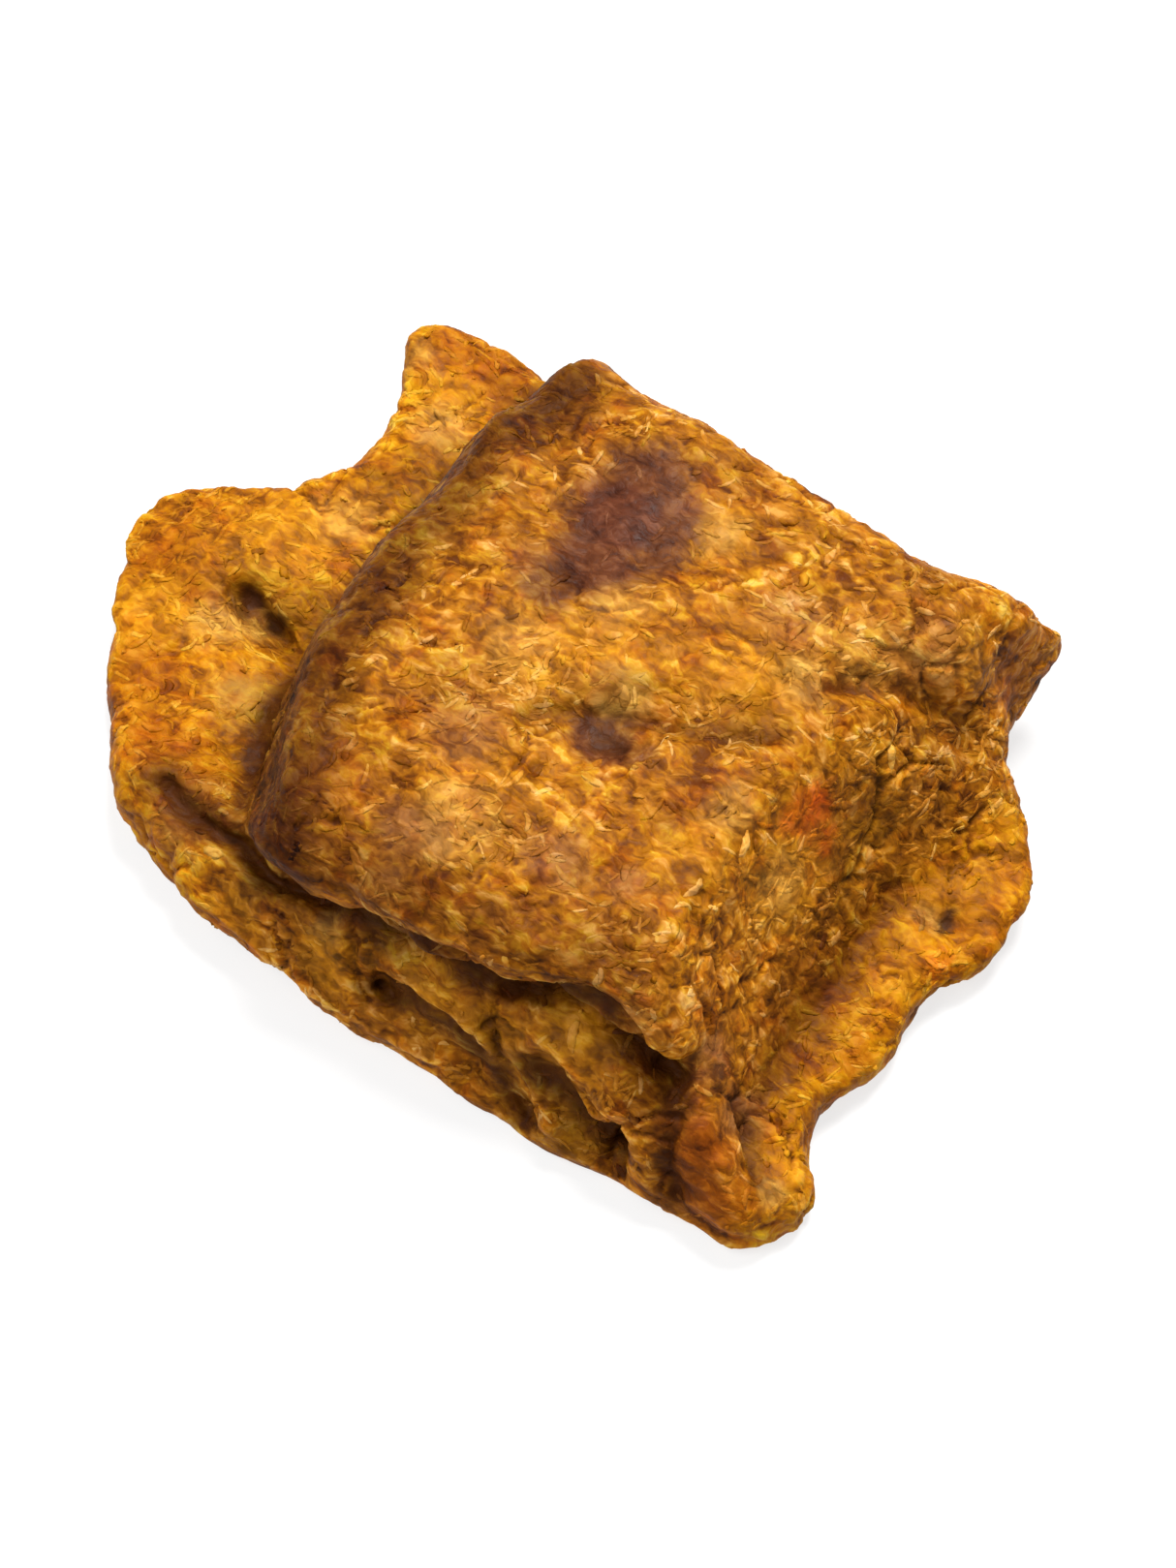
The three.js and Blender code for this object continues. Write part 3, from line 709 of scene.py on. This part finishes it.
def meat_body(node, low, high):
    """The skin with its relief, and the marks that its material reads."""
    piece = rough_copy(node)
    carve_lines(piece, skin_lines(skin_tree(piece)))
    voxel_remesh(piece, FINE_VOXEL)
    mesh = piece.data
    edges = edge_pairs(mesh)
    places = smoothed(positions(mesh), edges, STAIR_ROUNDS)
    set_positions(mesh, places)
    outward = normals(mesh)

    marks = skin_marks(places, outward, edges, skin_tree(piece))
    relief, marks["tone"] = skin_relief(places, outward, marks)
    shaped = places + outward * relief[:, None]
    sole = (places[:, 2] < SOLE_FLAT) & (outward[:, 2] < SOLE_FACING)
    shaped[sole, 2] = 0
    shaped = np.clip(shaped, low, high)
    set_positions(mesh, shaped)
    # how deep each spot lies in a small pit, or how high on a rise: the material paints shade and highlight
    # by it
    marks["cavity_shading"] = depth_below(shaped, normals(mesh), edges, **CAVITY)
    for name, values in marks.items():
        values[sole] = 0
        add_attribute(mesh, name, values)
    shade_smooth(mesh)
    return piece, marks


def open_sole(piece):
    """Makes the middle of the flat sole a few large faces."""
    mesh = piece.data
    skin = bmesh.new()
    skin.from_mesh(mesh)
    flat = {vertex for vertex in skin.verts if vertex.co.z < SOLE_TOLERANCE}
    inner = {v for v in flat if all(edge.other_vert(v) in flat for edge in v.link_edges)}
    bmesh.ops.delete(skin, geom=list(inner), context="VERTS")
    bare = [edge for edge in skin.edges if not edge.link_faces]
    bmesh.ops.delete(skin, geom=bare, context="EDGES")
    bmesh.ops.holes_fill(skin, edges=[edge for edge in skin.edges if edge.is_boundary], sides=0)
    bmesh.ops.triangulate(skin, faces=[face for face in skin.faces if len(face.verts) > 4])
    skin.to_mesh(mesh)
    skin.free()


# Strands, flecks and crumbs

def tube_faces(count):
    """Quads round each tube of rings, and a cap on each end."""
    faces = []
    for base in range(0, count * RINGS * SIDES, RINGS * SIDES):
        last = base + (RINGS - 1) * SIDES
        for start in range(base, last, SIDES):
            for s in range(SIDES):
                t = (s + 1) % SIDES
                faces.append((start + s, start + t, start + SIDES + t, start + SIDES + s))
        faces.append(tuple(base + s for s in reversed(range(SIDES))))
        faces.append(tuple(last + s for s in range(SIDES)))
    return faces


def tubes(name, lines, ups, widths, heights):
    """One mesh of many flattened tapering tubes. lines and ups are arrays of tube, ring and axis."""
    across = np.cross(ups, np.gradient(lines, axis=1))
    across /= np.linalg.norm(across, axis=-1, keepdims=True) + TINY
    turn = np.arange(SIDES) * 2 * math.pi / SIDES
    side = across[:, :, None, :] * (np.cos(turn)[None, None, :, None] * widths[:, :, None, None])
    rise = ups[:, :, None, :] * (np.sin(turn)[None, None, :, None] * heights[:, :, None, None])
    places = (lines[:, :, None, :] + side + rise).reshape(-1, 3)
    return mesh_object(name, places, tube_faces(len(lines)))


def open_skin(skin):
    """How freely small parts may lie: none on the sole, few on rims, steep sides and the painted shade
    bands.
    """
    marks = skin["marks"]
    above = skin["places"][:, 2] > PART_HEIGHT
    edge = np.maximum(marks["rim"], STEEP_EDGE * smoothstep(*STEEP_LIMITS, steepness(skin["outward"])))
    return above * (1 - EDGE_SHARE * edge) * (1 - SHADE_BAND_LEFT_OFF * marks["shade_band"])


def off_marks(skin, share, kinds):
    """1, but less by a share on some kinds of marks."""
    return 1 - share * np.clip(sum(skin["marks"][kind] for kind in kinds), 0, 1)


def skin_samples(weight, count):
    """Random vertices of the skin, more of them where weight is large."""
    return rng.choice(len(weight), size=count, replace=False, p=weight / weight.sum())


def headings_along(places, outward, scatter):
    """A direction along the skin at each place: neighbours lie alike, with some scatter."""
    angle = ripple(places, *HEADING_RIPPLE) + rng.normal(0, scatter, len(places))
    reference = np.tile(view_axes()[0], (len(places), 1))
    first = reference - (reference * outward).sum(-1, keepdims=True) * outward
    first /= np.linalg.norm(first, axis=-1, keepdims=True) + TINY
    return first * np.cos(angle)[:, None] + np.cross(outward, first) * np.sin(angle)[:, None]


def crawl(tree, starts, headings, step, turning):
    """Lines that creep over the skin: their points, and the skin's normal at each."""
    lines = np.zeros((len(starts), RINGS, 3))
    ups = np.zeros_like(lines)
    for k, (start, heading) in enumerate(zip(starts, headings)):
        place = Vector(start)
        ahead = Vector(heading)
        for r in range(RINGS):
            hit, up, _, _ = tree.find_nearest(place)
            ahead = (ahead - ahead.dot(up) * up).normalized()
            ahead.rotate(Matrix.Rotation(turning[k] / RINGS, 3, up))
            lines[k, r] = hit
            ups[k, r] = up
            place = hit + ahead * step[k]
    return lines, ups


def copy_marks(piece, skin, middles, tint):
    """Each small part takes the marks of the skin that it lies on, and its own tint."""
    nearest = np.array([skin["finder"].find(Vector(middle))[1] for middle in middles])
    each = len(piece.data.vertices) // len(middles)
    for name, values in skin["marks"].items():
        add_attribute(piece.data, name, np.repeat(values[nearest], each))
    add_attribute(piece.data, "tint", np.repeat(tint, each))


def long_parts(name, shape, skin, tint):
    """Short curved strands that lie along the skin, more than half sunk in it."""
    places, outward = skin["places"], skin["outward"]
    weight = off_marks(skin, shape["bare"], ("scab", "knob", "hole", "crease"))
    weight *= shape["least"] + patchwork(places, *shape["drifts"])
    weight *= (1 - shape["wall"] * skin["marks"]["wall"]) * open_skin(skin)
    chosen = skin_samples(weight, shape["count"])
    count = len(chosen)
    length = rng.uniform(*shape["length"], count)
    headings = headings_along(places[chosen], outward[chosen], shape["scatter"])
    starts = places[chosen] - headings * (length / 2)[:, None]
    turning = rng.normal(0, shape["turn"], count)
    lines, ups = crawl(skin["tree"], starts, headings, length / (RINGS - 1), turning)
    taper = np.sqrt(np.clip(1 - (np.linspace(-1, 1, RINGS) ** 2) * END_TAPER, 0, 1))
    uneven = rng.uniform(*UNEVEN, (count, RINGS))
    widths = rng.uniform(*shape["half_width"], count)[:, None] * taper * uneven
    heights = rng.uniform(*shape["half_height"], count)[:, None] * taper * uneven
    lines = lines + ups * shape["lift"]
    piece = tubes(name, lines, ups, widths, heights)
    copy_marks(piece, skin, lines[:, RINGS // 2], tint(count))
    set_positions(piece.data, np.clip(positions(piece.data), skin["low"], skin["high"]))
    return piece


def meat_strands(skin):
    """Fat strands of mince, of about the skin's own colour."""
    return long_parts("meat_strands", STRANDS, skin, lambda count: rng.normal(*STRAND_TINT, count))


def pale_flecks(skin):
    """Thin pale wisps in loose drifts."""
    return long_parts("pale_flecks", FLECKS, skin, lambda count: rng.beta(*FLECK_TINT, count))


def unit_crumb():
    """Points and faces of a small rounded ball."""
    bpy.ops.mesh.primitive_ico_sphere_add(subdivisions=CRUMBS["subdivisions"], radius=1)
    ball = bpy.context.object
    points = positions(ball.data)
    faces = [tuple(polygon.vertices) for polygon in ball.data.polygons]
    bpy.data.objects.remove(ball)
    return points, faces


def meat_crumbs(skin):
    """Crumbs stuck to the skin, most in its hollows and on the flaps."""
    marks = skin["marks"]
    weight = off_marks(skin, CRUMBS["bare"], ("scab", "knob", "crease"))
    gathered = CRUMBS["least"] + np.clip(marks["hollow"], 0, 1) + CRUMBS["flap"] * marks["flap"]
    weight *= gathered * open_skin(skin)
    chosen = skin_samples(weight, CRUMBS["count"])
    points, faces = unit_crumb()
    count, each = len(chosen), len(points)
    size = rng.uniform(*CRUMBS["radius"], count)
    shape = points[None] * rng.uniform(*CRUMBS["stretch"], (count, 1, 3))
    shape = shape + CRUMBS["rough"] * rng.normal(0, 1, (count, each, 1)) * points[None]
    centres = skin["places"][chosen] + skin["outward"][chosen] * (size * CRUMBS["lift"])[:, None]
    crumbs = (centres[:, None] + shape * size[:, None, None]).reshape(-1, 3)
    corners = [tuple(k * each + c for c in face) for k in range(count) for face in faces]
    piece = mesh_object("meat_crumbs", np.clip(crumbs, skin["low"], skin["high"]), corners)
    copy_marks(piece, skin, centres, rng.uniform(*CRUMBS["tint"], count))
    return piece


# Materials

# Noises of the meat: wavelength, detail and roughness.
BLOTCHES = (1.3, 2.0, 0.55)
BROAD = (3.6, 2.0, 0.55)
FINE = (0.24, 3.0, 0.6)
CLUMPS = (0.62, 2.0, 0.55)
SHREDS = {"Scale": 1 / (0.42 * MM), "Smoothness": 0.35}
BEND = 1.4  # how far the blotches bend the grain
GREY = (0.5, 0.5, 0.5)  # a noise's mean colour
GRAIN_MAPPING = {"Rotation": (0.2, 0.3, 0.7), "Scale": (0.45, 1.0, 1.0)}

# Ranges: from low to high of what is read, to what and to what it goes.
VALUE_RANGES = {  # what makes the meat lighter and darker, added up
    "tone": (-0.8, 0.8, 0.30, 0.74), "shreds": (0.1, 0.9, -0.12, 0.12), "fine": (0.3, 0.7, -0.13, 0.13),
    "clumps": (0.38, 0.62, -0.18, 0.18), "broad": (0.35, 0.65, -0.10, 0.10),
    # the last entry paints shade into small pits and a painted highlight onto small rises
    "cavity_shading": (-0.9, 0.9, 0.14, -0.38),
}
TINT_SHARE = 0.34
PEACH_NOISE = (0.48, 0.62, 0.0, 0.6)
PEACH_TINT = (0.1, 0.9, 0.0, 0.8)
PEACH_FLAP = (0.0, 1.0, 1.0, 0.25)
PATCHY = (0.4, 0.6, 0.45, 1.0)
DIM_VALUES = (0.1, 0.9, 0.9, 0.0)
# how strongly hollows take their painted shade
HOLLOW_SHADE = (0.05, 0.9, 0.0, 0.32)
ROUGHNESS = (0.3, 0.7, 0.42, 0.64)
SCAB_GLOSS = (0.0, 1.0, 0.0, 0.12)

BODY_TONES = [(0.0, srgb(84, 40, 1)), (0.25, srgb(118, 66, 2)), (0.5, srgb(149, 91, 7)),
              (0.75, srgb(172, 122, 21)), (1.0, srgb(200, 158, 66))]
FLAP_TONES = [(0.0, srgb(92, 46, 1)), (0.3, srgb(137, 78, 1)), (0.6, srgb(168, 108, 2)),
              (1.0, srgb(194, 147, 26))]
# the steep sides: a darker crust, deepened further as painted shade
WALL_CRUST_AND_SHADE_TONES = [(0.0, srgb(52, 23, 1)), (0.4, srgb(126, 70, 3)), (0.7, srgb(176, 110, 14)),
              (1.0, srgb(216, 166, 68))]
PEACH_TONES = [(0.0, srgb(94, 48, 3)), (0.5, srgb(156, 98, 24)), (1.0, srgb(204, 154, 90))]
SCAB_TONES = [(0.0, srgb(50, 22, 12)), (0.5, srgb(78, 40, 24)), (1.0, srgb(112, 68, 46))]
KNOB_TONES = [(0.0, srgb(66, 26, 1)), (0.5, srgb(114, 54, 3)), (1.0, srgb(164, 92, 16))]
# Rusty and olive blotches, which don't follow the grain: their range, and the colour that deepens the meat.
BLOTCH_SHADES = [((0.52, 0.66, 0.0, 0.55), srgb(240, 190, 110)),
                 ((0.48, 0.34, 0.0, 0.6), srgb(228, 232, 190))]
# What each kind of patch pulls the colour towards, and how far. It is dimmer where the meat is dark.
TINTS = {
    # the second colour is meat of its hue, and on the shaded front painted light
    "rust": (srgb(144, 64, 2), 0.7), "gold_and_light": (srgb(190, 125, 20), 0.65), "pale": (srgb(200, 154, 76), 0.7),
    "mauve": (srgb(132, 86, 56), 0.7), "olive": (srgb(104, 72, 5), 0.7), "red": (srgb(198, 78, 8), 0.8),
}
DIM_SHARE = 0.5
DIM_COLOUR = srgb(30, 14, 2)
# Darker marks: how strong, their colour, and whether it takes over or deepens what is there. The dark
# patches are partly dark spots of the meat and partly painted shade; the others are painted shade.
SHADES = [("dark", 0.85, srgb(166, 140, 98), "MULTIPLY"), ("shade_band", 0.95, srgb(148, 136, 92), "MULTIPLY"),
          ("hole", 1.0, srgb(46, 24, 10), "MIX"), ("crease", 0.9, srgb(48, 20, 3), "MIX")]
# the painted shade colour of hollows
HOLLOW_SHADE_COLOUR = srgb(70, 34, 4)

MEAT_SURFACE = {"Specular IOR Level": 0.05, "Subsurface Weight": 0.08,
                "Subsurface Radius": (1.0, 0.42, 0.14), "Subsurface Scale": 0.7 * MM}
BUMP = {"Distance": 0.09 * MM, "Strength": 0.85}
BUMP_FINE = 0.9
WHITE = (1.0, 1.0, 1.0, 1.0)
# The floor's glow of its own keeps the shadow on it as faint as in the photograph.
FLOOR_SURFACE = {"Base Color": srgb(132, 132, 132), "Roughness": 0.7, "Specular IOR Level": 0.1,
                 "Emission Color": WHITE, "Emission Strength": 0.74}


def add_node(tree, kind, inputs=None, **settings):
    """Adds a node, sets it, and links or fills its inputs by name or number."""
    node = tree.nodes.new(kind)
    for name, value in settings.items():
        setattr(node, name, value)
    for name, value in (inputs or {}).items():
        if isinstance(value, bpy.types.NodeSocket):
            tree.links.new(value, node.inputs[name])
        else:
            node.inputs[name].default_value = value
    return node


def mixed(tree, share, first, second, how="MIX"):
    inputs = {0: share, 6: first, 7: second}
    return add_node(tree, "ShaderNodeMix", inputs, data_type="RGBA", blend_type=how).outputs[2]


def calculated(tree, operation, first, second=0.0, clamp=False):
    node = add_node(tree, "ShaderNodeMath", {0: first, 1: second}, operation=operation, use_clamp=clamp)
    return node.outputs[0]


def vector_calculated(tree, operation, inputs):
    return add_node(tree, "ShaderNodeVectorMath", inputs, operation=operation).outputs[0]


def ranged(tree, value, low, high, to_low, to_high):
    limits = {"Value": value, "From Min": low, "From Max": high, "To Min": to_low, "To Max": to_high}
    return add_node(tree, "ShaderNodeMapRange", limits, clamp=True).outputs["Result"]


def mark(tree, name):
    return add_node(tree, "ShaderNodeAttribute", attribute_name=name).outputs["Fac"]


def channel(tree, colour, number):
    return add_node(tree, "ShaderNodeSeparateColor", {"Color": colour}).outputs[number]


def ramp(tree, value, stops):
    """A colour for each value: stops are (place, colour)."""
    node = add_node(tree, "ShaderNodeValToRGB", {"Fac": value})
    elements = node.color_ramp.elements
    while len(elements) < len(stops):
        elements.new(0.5)
    for element, (place, colour) in zip(elements, stops):
        element.position = place
        element.color = colour
    return node.outputs["Color"]


def speckle(tree, coords, wave, detail, rough):
    inputs = {"Vector": coords, "Scale": 1 / (wave * MM), "Detail": detail, "Roughness": rough}
    return add_node(tree, "ShaderNodeTexNoise", inputs)


def bent_coords(tree, coords, colour):
    """The coordinates, pushed about by a noise's colour."""
    centred = vector_calculated(tree, "SUBTRACT", {0: colour, 1: GREY})
    push = vector_calculated(tree, "SCALE", {0: centred, "Scale": BEND * MM})
    return vector_calculated(tree, "ADD", {0: coords, 1: push})


def meat_noises(tree):
    """The noises that the meat's colours and grain are made of."""
    coords = add_node(tree, "ShaderNodeTexCoord").outputs["Object"]
    blotches = speckle(tree, coords, *BLOTCHES)
    bent = bent_coords(tree, coords, blotches.outputs["Color"])
    long = add_node(tree, "ShaderNodeMapping", {"Vector": bent, **GRAIN_MAPPING}).outputs["Vector"]
    clumps = speckle(tree, long, *CLUMPS)
    shreds = add_node(tree, "ShaderNodeTexVoronoi", {"Vector": long, **SHREDS}, feature="SMOOTH_F1")
    return {
        "blotches": blotches.outputs["Fac"],
        "broad": speckle(tree, coords, *BROAD).outputs["Fac"],
        "fine": speckle(tree, long, *FINE).outputs["Fac"],
        "clumps": clumps.outputs["Fac"],
        "peach": channel(tree, clumps.outputs["Color"], 1),
        "shreds": channel(tree, shreds.outputs["Color"], 0),
        "shred_distance": shreds.outputs["Distance"],
    }


def meat_value(tree, noises):
    """How light the meat is at each spot, from 0 to 1, with painted shade in small pits and a painted
    highlight on small rises.
    """
    sources = {**noises, "tone": mark(tree, "tone"), "cavity_shading": mark(tree, "cavity_shading")}
    value, *others = [ranged(tree, sources[name], *limits) for name, limits in VALUE_RANGES.items()]
    for other in others:
        value = calculated(tree, "ADD", value, other)
    tinted = calculated(tree, "MULTIPLY", mark(tree, "tint"), TINT_SHARE)
    return calculated(tree, "ADD", value, tinted, clamp=True)


def peach_share(tree, noises):
    clumped = ranged(tree, noises["peach"], *PEACH_NOISE)
    tinted = ranged(tree, mark(tree, "tint"), *PEACH_TINT)
    share = calculated(tree, "ADD", clumped, tinted, clamp=True)
    return calculated(tree, "MULTIPLY", share, ranged(tree, mark(tree, "flap"), *PEACH_FLAP))


def plain_colour(tree, value, noises):
    """The meat without its patches: body, walls with darker crust and painted shade, and flaps, with
    blotches.
    """
    colour = ramp(tree, value, BODY_TONES)
    colour = mixed(tree, mark(tree, "wall"), colour, ramp(tree, value, WALL_CRUST_AND_SHADE_TONES))
    colour = mixed(tree, mark(tree, "flap"), colour, ramp(tree, value, FLAP_TONES))
    for limits, shade in BLOTCH_SHADES:
        colour = mixed(tree, ranged(tree, noises["blotches"], *limits), colour, shade, "MULTIPLY")
    return mixed(tree, peach_share(tree, noises), colour, ramp(tree, value, PEACH_TONES))


def patched_colour(tree, colour, value, noises):
    """The colour with its patches, scab and knob, dark spots, and painted shade in bands, holes, creases
    and hollows.
    """
    patchy = ranged(tree, noises["clumps"], *PATCHY)
    dimness = ranged(tree, value, *DIM_VALUES)
    for name, (tint, strength) in TINTS.items():
        strong = calculated(tree, "MULTIPLY", mark(tree, name), strength)
        share = calculated(tree, "MULTIPLY", strong, patchy)
        dim = mixed(tree, DIM_SHARE, tint, DIM_COLOUR)
        colour = mixed(tree, share, colour, mixed(tree, dimness, tint, dim))
    colour = mixed(tree, mark(tree, "scab"), colour, ramp(tree, value, SCAB_TONES))
    colour = mixed(tree, mark(tree, "knob"), colour, ramp(tree, value, KNOB_TONES))
    for name, strength, shade, how in SHADES:
        colour = mixed(tree, calculated(tree, "MULTIPLY", mark(tree, name), strength), colour, shade, how)
    return mixed(tree, ranged(tree, mark(tree, "hollow"), *HOLLOW_SHADE), colour, HOLLOW_SHADE_COLOUR)


def new_material(name, surface):
    """A material with constant inputs set on its shader."""
    material = bpy.data.materials.new(name)
    material.use_nodes = True
    shader = material.node_tree.nodes["Principled BSDF"]
    for socket, value in surface.items():
        shader.inputs[socket].default_value = value
    return material, material.node_tree, shader


def meat_material():
    """Minced, pressed and dried meat, by the marks of the skin."""
    material, tree, shader = new_material("dried_meat", MEAT_SURFACE)
    noises = meat_noises(tree)
    value = meat_value(tree, noises)
    colour = patched_colour(tree, plain_colour(tree, value, noises), value, noises)
    tree.links.new(colour, shader.inputs["Base Color"])

    rough = ranged(tree, noises["fine"], *ROUGHNESS)
    smoother = ranged(tree, mark(tree, "scab"), *SCAB_GLOSS)
    tree.links.new(calculated(tree, "SUBTRACT", rough, smoother), shader.inputs["Roughness"])

    fine = calculated(tree, "MULTIPLY", noises["fine"], BUMP_FINE)
    height = calculated(tree, "SUBTRACT", fine, noises["shred_distance"])
    bump = add_node(tree, "ShaderNodeBump", {"Height": height, **BUMP})
    tree.links.new(bump.outputs["Normal"], shader.inputs["Normal"])
    return material


# The stage

FLOOR_REACH = 4.0  # in metres
# Angles as the camera's, in degrees, and distances and sizes in metres.
LIGHTS = {
    "key": {"azimuth": 190, "elevation": 62, "distance": 0.7, "size": 0.26, "power": 8.9,
            "colour": (1.0, 0.985, 0.96)},
    "fill": {"azimuth": -40, "elevation": 55, "distance": 0.8, "size": 0.5, "power": 3.9,
             "colour": (1.0, 1.0, 1.0)},
}
WORLD_STRENGTH = 0.44


def make_floor():
    corners = np.array([(-1, -1, 0), (1, -1, 0), (1, 1, 0), (-1, 1, 0)]) * FLOOR_REACH
    floor = mesh_object("floor", corners, [(0, 1, 2, 3)])
    floor.data.materials.append(new_material("pale_floor", FLOOR_SURFACE)[0])


def make_camera():
    camera = new_object("camera", bpy.data.cameras.new("camera"))
    turn = Matrix(view_axes()).transposed()
    camera.matrix_world = Matrix.Translation(Vector(camera_place() * MM)) @ turn.to_4x4()
    camera.data.sensor_fit = "HORIZONTAL"
    camera.data.sensor_width = SENSOR_WIDTH
    camera.data.lens = SENSOR_WIDTH * CAMERA_DISTANCE / PICTURE_WIDTH
    camera.data.clip_start, camera.data.clip_end = CAMERA_CLIP
    bpy.context.scene.camera = camera


def add_light(name, azimuth, elevation, distance, size, power, colour):
    """A soft square light that faces the meat."""
    light = new_object(name, bpy.data.lights.new(name, "AREA"))
    towards = Vector(direction(azimuth, elevation))
    light.location = towards * distance
    light.rotation_mode = "QUATERNION"
    light.rotation_quaternion = towards.to_track_quat("Z", "Y")
    light.data.size = size
    light.data.energy = power
    light.data.color = colour


def make_lights():
    for name, light in LIGHTS.items():
        add_light(name, **light)
    world = bpy.data.worlds.new("world")
    bpy.context.scene.world = world
    world.use_nodes = True
    background = world.node_tree.nodes["Background"]
    background.inputs["Color"].default_value = WHITE
    background.inputs["Strength"].default_value = WORLD_STRENGTH
    bpy.context.scene.view_settings.view_transform = "Standard"


def main():
    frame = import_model()
    low, high = (np.array(corner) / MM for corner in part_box("meat_cube"))
    low[:2] += INSIDE
    high -= INSIDE
    make_camera()
    body, marks = meat_body(frame["nodes"]["meat_cube"], low, high)
    skin = {"places": positions(body.data), "outward": normals(body.data), "marks": marks,
            "tree": skin_tree(body), "finder": skin_finder(body), "low": low, "high": high}
    pieces = [body, meat_strands(skin), pale_flecks(skin), meat_crumbs(skin)]
    open_sole(body)
    material = meat_material()
    for piece in pieces:
        piece.data.transform(Matrix.Scale(MM, 4))
        piece.data.materials.clear()
        piece.data.materials.append(material)
        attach(piece, "root")
        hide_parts("meat_cube")
    make_floor()
    make_lights()


main()
